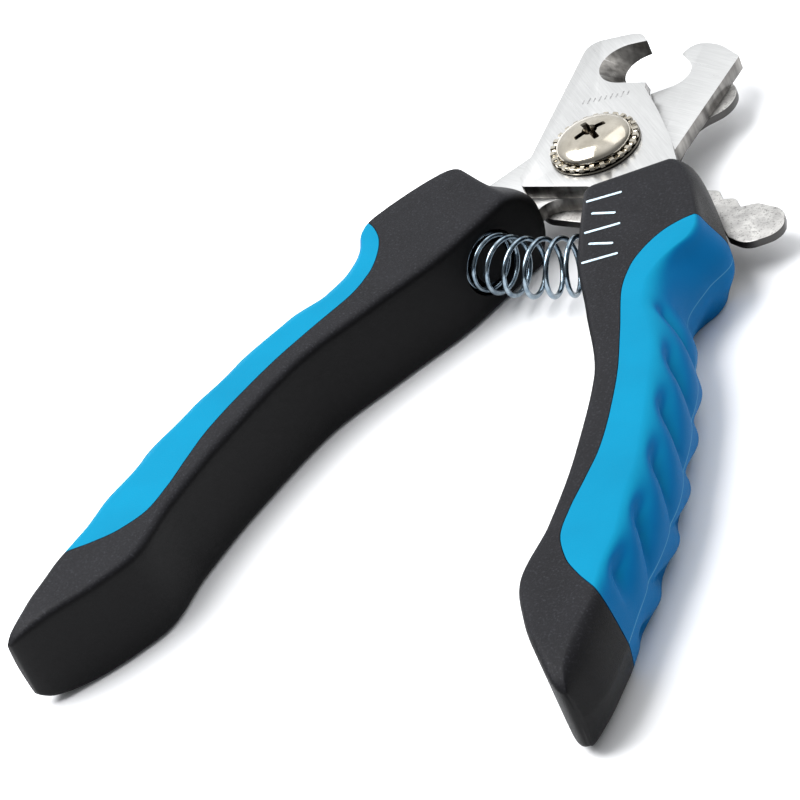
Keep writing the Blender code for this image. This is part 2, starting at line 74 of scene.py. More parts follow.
def curveThrough(table):
    # a smooth function through (station, value) knots that never overshoots them
    xs = [float(x) for x, _ in table]
    ys = [float(y) for _, y in table]
    chords = [(ys[i + 1] - ys[i]) / (xs[i + 1] - xs[i]) for i in range(len(xs) - 1)]
    slopes = [chords[0]]
    for before, after in zip(chords, chords[1:]):
        slopes.append(2 * before * after / (before + after) if before * after > 0 else 0.0)
    slopes.append(chords[-1])

    def value(x):
        x = min(max(x, xs[0]), xs[-1])
        i = min(sum(1 for known in xs[1:-1] if known <= x), len(xs) - 2)
        span = xs[i + 1] - xs[i]
        t = (x - xs[i]) / span
        return (ys[i] * (1 + 2 * t) * (1 - t) ** 2 + slopes[i] * span * t * (1 - t) ** 2
                + ys[i + 1] * t * t * (3 - 2 * t) + slopes[i + 1] * span * t * t * (t - 1))

    return value


def leverMatrix(lever):
    setup = levers[lever]
    flip = Matrix.Diagonal((setup["side"], 1, 1, 1))
    return Matrix.Scale(mm, 4) @ Matrix.Translation(pivot) @ Matrix.Rotation(
        math.radians(setup["turn"]), 4, "Z") @ flip


def makeMesh(name, shape, lever="stack"):
    points, faces = shape
    where = leverMatrix(lever)
    mesh = bpy.data.meshes.new(name)
    mesh.from_pydata([where @ Vector(p) for p in points], [], faces)
    work = bmesh.new()
    work.from_mesh(mesh)
    bmesh.ops.recalc_face_normals(work, faces=work.faces)
    if work.calc_volume(signed=True) < 0:
        bmesh.ops.reverse_faces(work, faces=work.faces)
    work.to_mesh(mesh)
    work.free()
    piece = bpy.data.objects.new(name, mesh)
    bpy.context.scene.collection.objects.link(piece)
    return piece


def applied(piece):
    # bakes the piece's modifiers into its mesh
    bpy.context.view_layer.update()
    evaluated = piece.evaluated_get(bpy.context.evaluated_depsgraph_get())
    mesh = bpy.data.meshes.new_from_object(evaluated)
    piece.modifiers.clear()
    piece.data = mesh


def cutWith(piece, tool, operation="DIFFERENCE"):
    modifier = piece.modifiers.new("cut", "BOOLEAN")
    modifier.object = tool
    modifier.operation = operation
    modifier.solver = "EXACT"
    applied(piece)
    bpy.data.objects.remove(tool)


def cut(piece, shape, lever="stack", operation="DIFFERENCE"):
    cutWith(piece, makeMesh("tool", shape, lever), operation)


def softenEdges(piece, width, sharpAbove=30, segments=2):
    modifier = piece.modifiers.new("edges", "BEVEL")
    modifier.width = width * mm
    modifier.segments = segments
    modifier.limit_method = "ANGLE"
    modifier.angle_limit = math.radians(sharpAbove)
    modifier.use_clamp_overlap = True
    applied(piece)


def shadeSmooth(piece, sharpAbove=40):
    piece.data.shade_smooth()
    piece.data.set_sharp_from_angle(angle=math.radians(sharpAbove))


def settle(piece, lever, node, finish, sharpAbove=40):
    # the piece gets its finish, rides with its lever and stands for its CAD node
    shadeSmooth(piece, sharpAbove)
    piece.data.materials.clear()
    piece.data.materials.append(finish)
    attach(piece, levers[lever]["body"])
    if node:
        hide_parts(node)


def loft(rings):
    count = len(rings[0])
    points = [p for one in rings for p in one]
    faces = []
    for k in range(len(rings) - 1):
        for i in range(count):
            j = (i + 1) % count
            faces.append([k * count + i, k * count + j, (k + 1) * count + j, (k + 1) * count + i])
    for k, way in ((0, 1), (len(rings) - 1, -1)):
        points.append(sum(rings[k], Vector()) / count)
        for i in range(count):
            faces.append([k * count + (i + 1) % count, k * count + i, len(points) - 1][::way])
    return points, faces


def prism(low, lowZ, high, highZ):
    # two plan outlines of equal length, joined by sides
    count = len(low)
    points = [Vector((x, y, lowZ)) for x, y in low] + [Vector((x, y, highZ)) for x, y in high]
    faces = [list(range(count)), list(range(count, 2 * count))]
    faces += [[i, (i + 1) % count, count + (i + 1) % count, count + i] for i in range(count)]
    return points, faces


def rounded(corners, step=5):
    # a plan outline through (x, y, radius) corners, with each radius as an arc
    outline = []
    for i, (x, y, radius) in enumerate(corners):
        here = Vector((x, y))
        back = Vector(corners[i - 1][:2]) - here
        ahead = Vector(corners[(i + 1) % len(corners)][:2]) - here
        corner = back.angle(ahead)
        if radius <= 0 or math.pi - corner < 0.02:
            outline.append((x, y))
            continue
        reach = min(radius / math.tan(corner / 2), 0.48 * min(back.length, ahead.length))
        fitted = reach * math.tan(corner / 2)
        inward = (back.normalized() + ahead.normalized()).normalized()
        centre = here + inward * (fitted / math.sin(corner / 2))
        start = here + back.normalized() * reach - centre
        swept = start.angle_signed(here + ahead.normalized() * reach - centre)
        pieces = max(2, math.ceil(abs(math.degrees(swept)) / step))
        for k in range(pieces + 1):
            spoke = start.copy()
            spoke.rotate(Matrix.Rotation(-swept * k / pieces, 2))
            outline.append(tuple(centre + spoke))
    return outline


def widened(outline, spread):
    # the outline with every side moved outward
    count = len(outline)
    corners = [Vector(p) for p in outline]
    area = sum(corners[i - 1].x * corners[i].y - corners[i].x * corners[i - 1].y for i in range(count))
    moved = []
    for i, here in enumerate(corners):
        before = (here - corners[i - 1]).normalized()
        after = (corners[(i + 1) % count] - here).normalized()
        run = (before + after).normalized()
        reach = math.copysign(spread, area) / max(0.5, run.dot(after))
        moved.append((here.x + run.y * reach, here.y - run.x * reach))
    return moved


def circle(x, y, radius, count=48):
    return [(x + radius * math.cos(2 * math.pi * i / count),
             y + radius * math.sin(2 * math.pi * i / count)) for i in range(count)]


def turnedRing(profile, count=96):
    # a (radius, z) profile turned about the pivot: a solid if it starts and ends on the axis
    solid = profile[0][0] == 0 and profile[-1][0] == 0
    rims = profile[1:-1] if solid else profile
    points = [Vector((x, y, z)) for radius, z in rims for x, y in circle(0, 0, radius, count)]
    faces = []
    rows = len(rims)
    for k in range(rows - 1 if solid else rows):
        over = (k + 1) % rows
        for i in range(count):
            j = (i + 1) % count
            faces.append([k * count + i, k * count + j, over * count + j, over * count + i])
    if solid:
        for k, z in ((0, profile[0][1]), (rows - 1, profile[-1][1])):
            points.append(Vector((0, 0, z)))
            faces += [[k * count + (i + 1) % count, k * count + i, len(points) - 1]
                      for i in range(count)]
    return points, faces


class Nodes:
    # a short way to write a material's nodes
    def __init__(self, name):
        self.material = bpy.data.materials.new(name)
        self.material.use_nodes = True
        self.tree = self.material.node_tree
        self.shader = self.tree.nodes["Principled BSDF"]
        where = self.tree.nodes.new("ShaderNodeTexCoord")
        self.coordinates = where.outputs["Object"]
        self.facing = where.outputs["Normal"]

    def add(self, kind, **settings):
        node = self.tree.nodes.new("ShaderNode" + kind)
        for key, value in settings.items():
            setattr(node, key, value)
        return node

    def link(self, source, target):
        self.tree.links.new(source, target)

    def mapped(self, scale, turn=0.0):
        # turned about Z first, then stretched
        spin = self.add("Mapping", vector_type="POINT")
        spin.inputs["Rotation"].default_value = (0, 0, math.radians(turn))
        self.link(self.coordinates, spin.inputs["Vector"])
        stretch = self.add("Mapping", vector_type="POINT")
        stretch.inputs["Scale"].default_value = scale
        self.link(spin.outputs["Vector"], stretch.inputs["Vector"])
        return stretch.outputs["Vector"]

    def noise(self, scale, detail=2.0, stretch=(1, 1, 1), turn=0.0, roughness=0.5):
        node = self.add("TexNoise")
        node.inputs["Scale"].default_value = scale
        node.inputs["Detail"].default_value = detail
        node.inputs["Roughness"].default_value = roughness
        self.link(self.mapped(stretch, turn), node.inputs["Vector"])
        return node.outputs["Fac"]

    def span(self, source, first, last, shades):
        # from one shade, up to the value first, to the other, beyond the value last
        node = self.add("ValToRGB")
        for stop, place, shade in zip(node.color_ramp.elements, (first, last), shades):
            stop.position = place
            stop.color = (*shade, 1) if isinstance(shade, tuple) else (shade, shade, shade, 1)
        self.link(source, node.inputs["Fac"])
        return node.outputs["Color"]

    def mix(self, factor, first, second):
        node = self.add("Mix", data_type="RGBA")
        sockets = (node.inputs[0], node.inputs[6], node.inputs[7])
        for socket, value in zip(sockets, (factor, first, second)):
            if isinstance(value, bpy.types.NodeSocket):
                self.link(value, socket)
            elif isinstance(value, tuple):
                socket.default_value = (*value, 1)
            else:
                socket.default_value = value
        return node.outputs[2]

    def bump(self, height, strength, distance, under=None):
        node = self.add("Bump")
        node.inputs["Strength"].default_value = strength
        node.inputs["Distance"].default_value = distance * mm
        self.link(height, node.inputs["Height"])
        if under is not None:
            self.link(under, node.inputs["Normal"])
        return node.outputs["Normal"]

    def height(self, vector):
        apart = self.add("SeparateXYZ")
        self.link(vector, apart.inputs[0])
        return apart.outputs["Z"]

    def maths(self, operation, first, second=None):
        # one step of arithmetic, on another node's value
        node = self.add("Math", operation=operation)
        self.link(first, node.inputs[0])
        if isinstance(second, bpy.types.NodeSocket):
            self.link(second, node.inputs[1])
        elif second is not None:
            node.inputs[1].default_value = second
        return node.outputs[0]

    def fade(self, source, first, last, start, end, kind="LINEAR"):
        # start up to the value first, end beyond the value last
        node = self.add("MapRange", interpolation_type=kind)
        limits = zip(("From Min", "From Max", "To Min", "To Max"), (first, last, start, end))
        for socket, value in limits:
            node.inputs[socket].default_value = value
        self.link(source, node.inputs["Value"])
        return node.outputs[0]

    def steepness(self, steep, flat):
        # 1 on the sides of a piece and on its slopes, 0 on its flat faces. The finishes use it to lay
        # painted shade on the sides
        level = self.maths("ABSOLUTE", self.height(self.facing))
        return self.fade(level, steep, flat, 1.0, 0.0, "SMOOTHSTEP")

    def finish(self, colour=None, roughness=None, normal=None, **fixed):
        for socket, value in (("Base Color", colour), ("Roughness", roughness), ("Normal", normal)):
            if isinstance(value, bpy.types.NodeSocket):
                self.link(value, self.shader.inputs[socket])
            elif isinstance(value, tuple):
                self.shader.inputs[socket].default_value = (*value, 1)
            elif value is not None:
                self.shader.inputs[socket].default_value = value
        for socket, value in fixed.items():
            self.shader.inputs[socket.replace("_", " ")].default_value = value
        return self.material


# a finish's colours are pairs, from the dark end of its noise to the light end
steel = {
    "lines": ((0.52, 0.52, 0.515), (0.70, 0.70, 0.695)),
    "wear": ((0.57, 0.57, 0.565), (0.70, 0.70, 0.695)),
    # painted shade: the dark tone laid on the blade's steep sides, over a banded sheared texture
    "shadedShearedEdge": ((0.07, 0.066, 0.062), (0.27, 0.26, 0.245)),
    "edgeFrom": (0.9, 0.99),  # how level a face is where the edge's tone ends
    "streaks": 900.0,  # per metre across the brushing
    "stretch": 0.035,  # how far each streak runs
    "roughness": (0.27, 0.37),
}


def brushedSteel(name, turn):
    # fine lines from the polishing wheel, with a few deeper ones, cloudy wear, and sheared edges with
    # a banded texture and painted shade making the blade's sides dark
    n = Nodes(name)
    along = (steel["stretch"], 1, 1)
    lines = n.noise(steel["streaks"] * 5, 3.0, along, turn, 0.7)
    scratches = n.noise(steel["streaks"] * 2.2, 3.0, along, turn, 0.55)
    clouds = n.noise(60.0, 2.0)
    shade = n.mix(0.45, n.span(lines, 0.3, 0.7, steel["lines"]),
                  n.span(clouds, 0.3, 0.7, steel["wear"]))
    rough = n.span(scratches, 0.3, 0.72, steel["roughness"])
    normal = n.bump(lines, 0.10, 0.012, n.bump(scratches, 0.08, 0.015))
    bands = n.noise(520.0, 3.0, (1, 1, 0.25), turn)
    edge = n.span(bands, 0.3, 0.7, steel["shadedShearedEdge"])
    # painted shade: the blade's sides take the dark sheared-edge tone
    shade = n.mix(n.steepness(*steel["edgeFrom"]), shade, edge)
    return n.finish(shade, rough, normal, Metallic=1.0)


moulding = {
    "patches": ((0.007, 0.007, 0.0088), (0.010, 0.010, 0.0125)),
    "specks": (0.036, 0.037, 0.044),
    # sides: painted shade, the near-black laid on the handle's walls
    "sides": (0.003, 0.003, 0.0035),
    "sidesFrom": (0.35, 0.9),
    "grainScale": 5200.0,
    "roughness": (0.42, 0.62),
    "gloss": 0.12,
}


def blackPlastic():
    # moulded plastic with an eroded grain and small rubbed spots, with painted shade making its walls
    # blackest
    n = Nodes("graphite_moulding")
    grain = n.noise(moulding["grainScale"], 3.0, roughness=0.65)
    patches = n.noise(110.0, 3.0)
    specks = n.noise(2600.0, 2.0)
    shade = n.mix(n.span(specks, 0.55, 0.78, (0.0, 0.7)),
                  n.span(patches, 0.3, 0.75, moulding["patches"]), moulding["specks"])
    # painted shade: the walls are darkened to the sides colour
    shade = n.mix(n.steepness(*moulding["sidesFrom"]), shade, moulding["sides"])
    rough = n.span(grain, 0.3, 0.75, moulding["roughness"])
    normal = n.bump(grain, 0.55, 0.09)
    return n.finish(shade, rough, normal, Specular_IOR_Level=moulding["gloss"])


softTouch = {
    # top and sides are lit and shaded copies of the blue: the sides colour is painted shade
    "top": ((0.0, 0.18, 0.32), (0.0, 0.205, 0.36)),
    "sides": (0.0, 0.11, 0.295),
    "sidesFrom": (0.5, 0.98),
    # a painted highlight, paler along the mould's parting line
    "partingLineHighlight": (0.12, 0.34, 0.46),
    "lineWidth": (0.05, 0.14),  # half of it, where it is strongest and where it ends
    "grainScale": 4200.0,
    "roughness": (0.50, 0.68),
    "gloss": 0.06,
}


def blueRubber(midPlane):
    # soft-touch rubber, with painted shade making its sides deeper and a painted highlight making it a
    # little paler along the mould's parting line
    n = Nodes("lagoon_soft_touch")
    grain = n.noise(softTouch["grainScale"], 3.0, roughness=0.6)
    patches = n.noise(70.0, 3.0)
    shade = n.span(patches, 0.3, 0.72, softTouch["top"])
    away = n.maths("ABSOLUTE", n.maths("SUBTRACT", n.height(n.coordinates), midPlane * mm))
    strong, end = softTouch["lineWidth"]
    line = n.fade(away, strong * mm, end * mm, 0.5, 0.0)
    # painted shade darkens the sides, then a painted highlight pales the parting line
    shade = n.mix(n.steepness(*softTouch["sidesFrom"]), shade, softTouch["sides"])
    shade = n.mix(line, shade, softTouch["partingLineHighlight"])
    rough = n.span(grain, 0.3, 0.75, softTouch["roughness"])
    normal = n.bump(grain, 0.35, 0.07)
    return n.finish(shade, rough, normal, Specular_IOR_Level=softTouch["gloss"])


plating = {
    "haze": ((0.42, 0.385, 0.32), (0.58, 0.54, 0.465)),
    # painted shade for the inside of the screw's recess
    "recessShade": (0.035, 0.026, 0.018),
    "recessShadeReach": 3.7,  # from the screw's middle
    "recessShadeDepth": 0.25,
    "roughness": (0.10, 0.24),
}


def nickelPlate(name, light=1.0, recessBelow=None):
    # bright warm plating with a thin haze and hairline marks. Painted shade darkens the screw's recess
    n = Nodes(name)
    haze = n.noise(300.0, 4.0)
    hairs = n.noise(1800.0, 3.0, (0.06, 1, 1), 25)
    # light scales the plating's colour; below 1 it makes a copy darkened as painted shade
    shade = n.span(haze, 0.3, 0.7, [tuple(light * c for c in colour) for colour in plating["haze"]])
    # painted shade: darkens the recess below recessBelow, near the screw's middle
    if recessBelow is not None:
        offset = n.add("VectorMath", operation="SUBTRACT")
        offset.inputs[1].default_value = pivot * mm
        n.link(n.coordinates, offset.inputs[0])
        flat = n.add("VectorMath", operation="MULTIPLY")
        flat.inputs[1].default_value = (1, 1, 0)
        n.link(offset.outputs[0], flat.inputs[0])
        span = n.add("VectorMath", operation="LENGTH")
        n.link(flat.outputs[0], span.inputs[0])
        near = n.maths("LESS_THAN", span.outputs["Value"], plating["recessShadeReach"] * mm)
        deep = n.fade(n.height(offset.outputs[0]), (recessBelow - plating["recessShadeDepth"]) * mm,
                      recessBelow * mm, 0.9, 0.0)
        shade = n.mix(n.maths("MULTIPLY", near, deep), shade, plating["recessShade"])
    rough = n.span(haze, 0.35, 0.75, plating["roughness"])
    return n.finish(shade, rough, n.bump(hairs, 0.12, 0.02), Metallic=1.0)


tumbled = {
    "clouds": ((0.40, 0.39, 0.38), (0.62, 0.61, 0.59)),
    "pits": (0.13, 0.125, 0.12),
    # edge: painted shade for the plate's sides
    "edge": (0.07, 0.068, 0.066),
    "edgeFrom": (0.55, 0.9),
    "roughness": (0.34, 0.50),
}


def tumbledSteel():
    # stamped plate, tumbled until it is dull, with dark pits, and with painted shade darkening its
    # edges
    n = Nodes("tumbled_plate")
    clouds = n.noise(420.0, 4.0)
    pits = n.noise(2400.0, 3.0, roughness=0.7)
    shade = n.mix(n.span(pits, 0.53, 0.68, (0.0, 0.75)), n.span(clouds, 0.3, 0.7, tumbled["clouds"]),
                  tumbled["pits"])
    rough = n.span(clouds, 0.3, 0.7, tumbled["roughness"])
    # painted shade: the plate's sides take the dark edge colour
    shade = n.mix(n.steepness(*tumbled["edgeFrom"]), shade, tumbled["edge"])
    return n.finish(shade, rough, n.bump(pits, 0.35, 0.05), Metallic=1.0)


def springChrome():
    # drawn wire with bright zinc plating
    n = Nodes("blue_zinc_wire")
    bands = n.noise(700.0, 3.0)
    shade = n.span(bands, 0.3, 0.7, ((0.12, 0.17, 0.22), (0.36, 0.44, 0.50)))
    rough = n.span(bands, 0.3, 0.7, (0.10, 0.22))
    return n.finish(shade, rough, n.bump(bands, 0.08, 0.02), Metallic=1.0)


def paleInk():
    # thin print, a little worn
    n = Nodes("pale_print")
    wear = n.noise(1500.0, 3.0)
    shade = n.span(wear, 0.35, 0.6, ((0.42, 0.56, 0.66), (0.60, 0.74, 0.82)))
    return n.finish(shade, n.span(wear, 0.3, 0.7, (0.45, 0.65)))


def etchedGrey():
    # the dull skin that an acid etch leaves on steel
    n = Nodes("etched_marks")
    wear = n.noise(2200.0, 2.0)
    shade = n.span(wear, 0.35, 0.65, ((0.20, 0.20, 0.20), (0.42, 0.42, 0.42)))
    return n.finish(shade, n.span(wear, 0.3, 0.7, (0.45, 0.6)), Metallic=0.6)


# stations run back from the pivot, and x out from the mid-line, with the handle shut
handle = {
    "midPlane": -0.8,
    "halfThickness": 8.7,
    "front": 17.6,
    "end": 138.8,
    "frontFade": 38.0,
    "frontSlant": 0.235,
    "coverFront": 17.8,
    "bladeSideFront": 20.4,
    "noseFront": 14.6,
    "noseX": 5.0,
    "innerFillet": 1.5,
    "innerWall": [(15, 0.9), (36, 1.7), (52, 4.9), (70, 8.1), (88, 6.9), (104, 4.3), (116, 1.1),
                  (124, 2.7), (134, 6.6), (140, 9.6)],
    "flatEnd": [(15, 15.8), (24, 19.6), (31, 21.8), (35, 22.4), (38, 21.4), (41, 18.6), (44, 16.4),
                (49, 14.6), (53, 14.6), (60, 16.6), (68, 17.6), (82, 17.6), (92, 17.4), (100, 16.2),
                (108, 15.6), (115, 14.0), (122, 13.4), (127, 12.0), (131, 11.0), (135, 10.2),
                (138, 10.4), (140, 10.8)],
    "outerMid": [(15, 18.4), (24, 22.4), (31, 25.2), (36, 26.5), (42, 22.8), (50, 19.9), (57, 21.9),
                 (70, 23.2), (82, 22.9), (94, 22.4), (106, 20.4), (117, 18.1), (126, 16.6),
                 (133, 14.8), (137, 12.8), (140, 10.4)],
    "upperHeight": [(15, 8.7), (129, 8.7), (134, 8.2), (137, 7.2), (138.8, 5.6), (140, 2.6)],
    "gripEdge": [(34, 31.2), (23, 32.2), (18.3, 34.2), (14.5, 38.2), (12.0, 43.5), (11.2, 49.5),
                 (12.0, 60), (12.6, 71), (12.3, 80), (11.5, 88), (9.8, 95), (8.0, 101.5), (7.1, 107),
                 (8.4, 112.4), (10.9, 116.6), (14.0, 120.4), (17.6, 125.2), (24, 132)],
    "gripLean": 3.4,
    "gripGap": 0.13,
    "tongueCover": 6.0,
    "lobePitch": 12.0,
    "lobePhase": 63.5,
    "lobeSlant": 8.0,
    "lobeDepth": 2.1,
    "lobes": (50, 56, 114, 121),  # the stations where they rise and fade
    "knob": (23, 30, 40, 50),
    "tail": (112, 124),
    "tongueFront": 39.3,
    "tongueStep": 7.9,
    "tongueRings": 11,
    "tongueHalf": 4.8,
    "tongueCorner": 2.0,
    "leadIn": 13.4,  # how far the close rings behind the front face reach
    "stationStep": 0.8,
    "seatStation": 29.0,
    "seatFloor": 4.2,
    "seatRadius": 5.95,
    "seatPeg": 3.7,
}
innerWall = curveThrough(handle["innerWall"])
flatEnd = curveThrough(handle["flatEnd"])
outerMid = curveThrough(handle["outerMid"])
upperHeight = curveThrough(handle["upperHeight"])


def lobeCut(station, z, share):
    # how deep the finger lobes cut in. A valley is narrow, and leans forward towards the flat face
    along = (station - handle["lobePhase"] + handle["lobeSlant"] * abs(z) / 6.8) / handle["lobePitch"]
    part = along - math.floor(along)
    valley = 1 - math.sin(math.pi * part ** 0.8) ** (0.7 + 1.1 * share * share)
    ends = between(station, *handle["lobes"])
    depth = handle["lobeDepth"] * (0.3 + 0.7 * smoothstep(share / 0.55))
    return depth * valley * ends * smoothstep((0.99 - share) / 0.28)


def frontFace(x, z, side):
    # a shoulder over the lever's own blade, set back where the other blade passes, and a nose
    share = min(abs(z) / handle["halfThickness"], 1.0)
    cover = smoothstep((side * z + 2.0) / 4.0)
    shoulder = handle["bladeSideFront"] + (handle["coverFront"] - handle["bladeSideFront"]) * cover
    shoulder += 0.9 * share ** 3 - handle["frontSlant"] * x
    nose = handle["noseFront"] + 0.045 * (x - handle["noseX"]) ** 2 + 6.5 * share ** 3
    return -0.6 * math.log(math.exp(-shoulder / 0.6) + math.exp(-nose / 0.6))


def handlePoint(x, station, z, side):
    fade = smoothstep((handle["frontFade"] - station) / (handle["frontFade"] - handle["front"]))
    back = station + fade * (frontFace(x, z, side) - handle["front"])
    return Vector((x, -back, handle["midPlane"] + z))


def cornerInset(depth, radius):
    left = max(0.0, 1 - depth / radius)
    return radius * (1 - math.sqrt(1 - left * left))


def outerReach(station, share):
    # how far out the side stands between the flat face, share 1, and the mid-plane, share 0
    knob = between(station, *handle["knob"])
    tailFirst, tailFull = handle["tail"]
    tail = smoothstep((station - tailFirst) / (tailFull - tailFirst))
    roll = (1 - share ** 2.3) ** 0.56
    flare = 0.45 * (1 - share ** 4) ** 0.6 + 0.55 * smoothstep((0.85 - share) / 0.75)
    slope = 0.45 * (1 - share ** 4) ** 0.55 + 0.55 * (1 - share ** 1.2)
    return roll + knob * (flare - roll) + tail * (slope - roll)


def halfSection(station):
    depth = station - handle["front"]
    rest = handle["end"] - station
    inner = innerWall(station) + cornerInset(depth, 1.6) + 0.4 * cornerInset(rest, 2.5)
    outer = outerMid(station) - cornerInset(depth, 3.0)
    flat = min(flatEnd(station) - 0.6 * cornerInset(depth, 3.0), outer - 0.4)
    flat = max(flat, inner + 0.4)
    height = upperHeight(station) - 0.6 * cornerInset(depth, 1.0)
    fillet = min(handle["innerFillet"], 0.45 * (flat - inner))
    points = [(inner, (height - fillet) * k / 6) for k in range(7)]
    for k in range(1, 7):
        a = math.radians(15 * k)
        points.append((inner + fillet * (1 - math.cos(a)), height - fillet * (1 - math.sin(a))))
    points += [(inner + fillet + (flat - inner - fillet) * k / 6, height) for k in range(1, 7)]
    steps = 26
    for k in range(1, steps + 1):
        share = math.cos(0.5 * math.pi * k / steps) if k < steps else 0.0
        bulge = outerReach(station, share)
        dip = lobeCut(station, height * share, share)
        points.append((flat + (outer - flat) * bulge - dip * math.sqrt(bulge),
                       height * share - 0.4 * dip * share))
    return points


def ring(station, side):
    upper = halfSection(station)
    lower = [(x, -z) for x, z in reversed(upper[1:-1])]
    return [handlePoint(x, station, z, side) for x, z in upper + lower]


def handleRings(side):
    first = handle["front"]
    stations = [first + handle["leadIn"] * (k / 18) ** 1.6 for k in range(18)]
    stations += [first + handle["leadIn"] + handle["stationStep"] * k for k in range(124)]
    last = stations[-1] + handle["stationStep"]
    stations += [last + (handle["end"] - last) * (1 - (1 - k / 14) ** 1.8) for k in range(15)]
    outline = [(p.x, p.z - handle["midPlane"]) for p in ring(first, side)]
    middle = sum(x for x, _ in outline) / len(outline)
    for k in range(1, 12):
        share = k / 12
        yield [handlePoint(middle + share * (x - middle), first, share * z, side) for x, z in outline]
    for station in stations:
        yield ring(station, side)


def gripOutline(shift):
    edge = handle["gripEdge"]
    pieces = 8
    last = pieces * (len(edge) - 1)
    across = curveThrough([(pieces * i, x) for i, (x, _) in enumerate(edge)])
    along = curveThrough([(pieces * i, station) for i, (_, station) in enumerate(edge)])
    outline = [(across(k), -along(k) - shift * smoothstep((70 - along(k)) / 30))
               for k in range(last + 1)]
    return outline + [(48.0, outline[-1][1]), (48.0, outline[0][1])]


def gripReach(side, spread=0.0):
    low, high = (gripOutline(handle["gripLean"]), gripOutline(0.0))[::side]
    reach = handle["halfThickness"] + 1.0
    return prism(widened(low, spread), handle["midPlane"] - reach,
                 widened(high, spread), handle["midPlane"] + reach)


def tongue(spread=0.0):
    # the part of the black core that reaches under the soft grip
    rings = []
    last = handle["tongueRings"] - 1
    for k in range(last + 1):
        station = handle["tongueFront"] + handle["tongueStep"] * k
        place = station + (spread if k == last else -spread if k == 0 else 0.0)
        low = innerWall(station) + 3.0
        high = outerMid(station) - handle["tongueCover"] + spread
        half, corner = handle["tongueHalf"] + spread, handle["tongueCorner"]
        corners = [(low, half), (high - corner, half), (high, half - corner), (high, corner - half),
                   (high - corner, -half), (low, -half)]
        rings.append([Vector((x, -place, handle["midPlane"] + z)) for x, z in corners])
    return loft(rings)


def springSeat():
    groove, faces = turnedRing([(handle["seatPeg"], 0.0), (handle["seatRadius"], 0.0),
                                (handle["seatRadius"], 12.0), (handle["seatPeg"], 12.0)], 64)
    lie = Matrix.Rotation(math.radians(-90), 4, "Y")
    seat = Vector((handle["seatFloor"], -handle["seatStation"], handle["midPlane"]))
    return [seat + lie @ p for p in groove], faces


# outlines are (x, y, corner radius), with the blade shut. The handles need the tang's too
blades = {
    "bore": 2.8,
    "tangRoom": 0.12,
    "edgeBevel": 0.09,
    "tang": [(17.1, -17.6, 0.8), (14.6, -19.6, 1.0), (11.6, -30.0, 8.0), (10.0, -44.0, 8.0),
             (11.2, -60.0, 1.2), (8.8, -60.0, 1.2), (7.2, -44.0, 8.0), (5.7, -30.0, 8.0),
             (5.2, -21.0, 1.0), (2.1, -19.0, 0.6)],
    "posts": [(8.9, -25.0, 1.9), (8.4, -39.0, 1.2)],
    "right": {
        "piece": "upper_cutter", "node": "upper_blade", "low": 0.1, "high": 2.8,
        "head": [(2.1, -12.1, 4.0), (-13.0, -7.4, 1.0), (-13.7, -4.9, 2.0), (-4.9, 33.3, 3.6),
                 (5.3, 33.3, 3.0), (7.5, 28.0, 0.0), (7.6, 15.2, 0.4), (11.0, 6.6, 30.0),
                 (14.0, -2.4, 30.0), (17.1, -15.0, 1.0)],
        "notchLow": (7.9, 23.7, 5.6), "notchHigh": (4.0, 24.2, 5.9), "flares": (17, 0),
        "brushing": -17.5 + 62,
    },
    "left": {
        "piece": "lower_cutter", "node": "lower_blade", "low": -2.8, "high": -0.1,
        "head": [(2.1, -12.1, 4.0), (-14.0, -6.6, 1.0), (-14.7, -4.4, 2.0), (-6.1, 32.6, 0.6),
                 (0.4, 34.6, 8.0), (5.5, 33.4, 2.8), (5.6, 28.0, 0.0), (7.6, 15.2, 0.4),
                 (11.0, 6.6, 30.0), (14.0, -2.4, 30.0), (17.1, -15.0, 1.0)],
        "notchLow": (1.6, 24.2, 5.1), "notchHigh": (4.7, 24.2, 4.7), "flares": (50, 25),
        "brushing": 17.5,
    },
}


def notchPlan(x, y, radius, flares):
    lowerFlare, upperFlare = flares
    first, last = 90 + upperFlare, 270 - lowerFlare
    steps = 40
    mouth = 26.0
    arc = [math.radians(first + (last - first) * i / steps) for i in range(steps + 1)]
    outline = [(x + radius * math.cos(a), y + radius * math.sin(a)) for a in arc]
    run = mouth - outline[-1][0]
    outline.append((mouth, outline[-1][1] - run * math.tan(math.radians(lowerFlare))))
    run = mouth - outline[0][0]
    outline.append((mouth, outline[0][1] + run * math.tan(math.radians(upperFlare))))
    return outline


def tangSlots(core, lever):
    blade = blades[lever]
    room = blades["tangRoom"]
    outline = widened(rounded(blades["tang"] + [(2.1, -8.0, 0), (17.1, -8.0, 0)]), room)
    slot = makeMesh("slot", prism(outline, blade["low"] - room, outline, blade["high"] + room), lever)
    for x, y, radius in blades["posts"]:
        post = circle(x, y, radius - room, 32)
        cut(slot, prism(post, blade["low"] - 1, post, blade["high"] + 1), lever)
    cutWith(core, slot)


def makeHandle(lever, plastic, rubber):
    side = levers[lever]["side"]
    body = loft(list(handleRings(side)))
    core = makeMesh(f"{lever}_moulded_handle", body, lever)
    grip = makeMesh(f"{lever}_soft_grip", body, lever)
    cut(grip, gripReach(side), lever, "INTERSECT")
    cut(grip, tongue(handle["gripGap"]), lever)
    cut(core, gripReach(side, handle["gripGap"]), lever)
    cut(core, tongue(), lever, "UNION")
    tangSlots(core, lever)
    cut(core, springSeat(), lever)
    settle(core, lever, f"{lever}_handle_core", plastic)
    settle(grip, lever, f"{lever}_grip", rubber)


plastic = blackPlastic()
rubber = blueRubber(pivot.z + handle["midPlane"])
for lever in ("right", "left"):
    makeHandle(lever, plastic, rubber)
    print(lever, "handle and grip made")


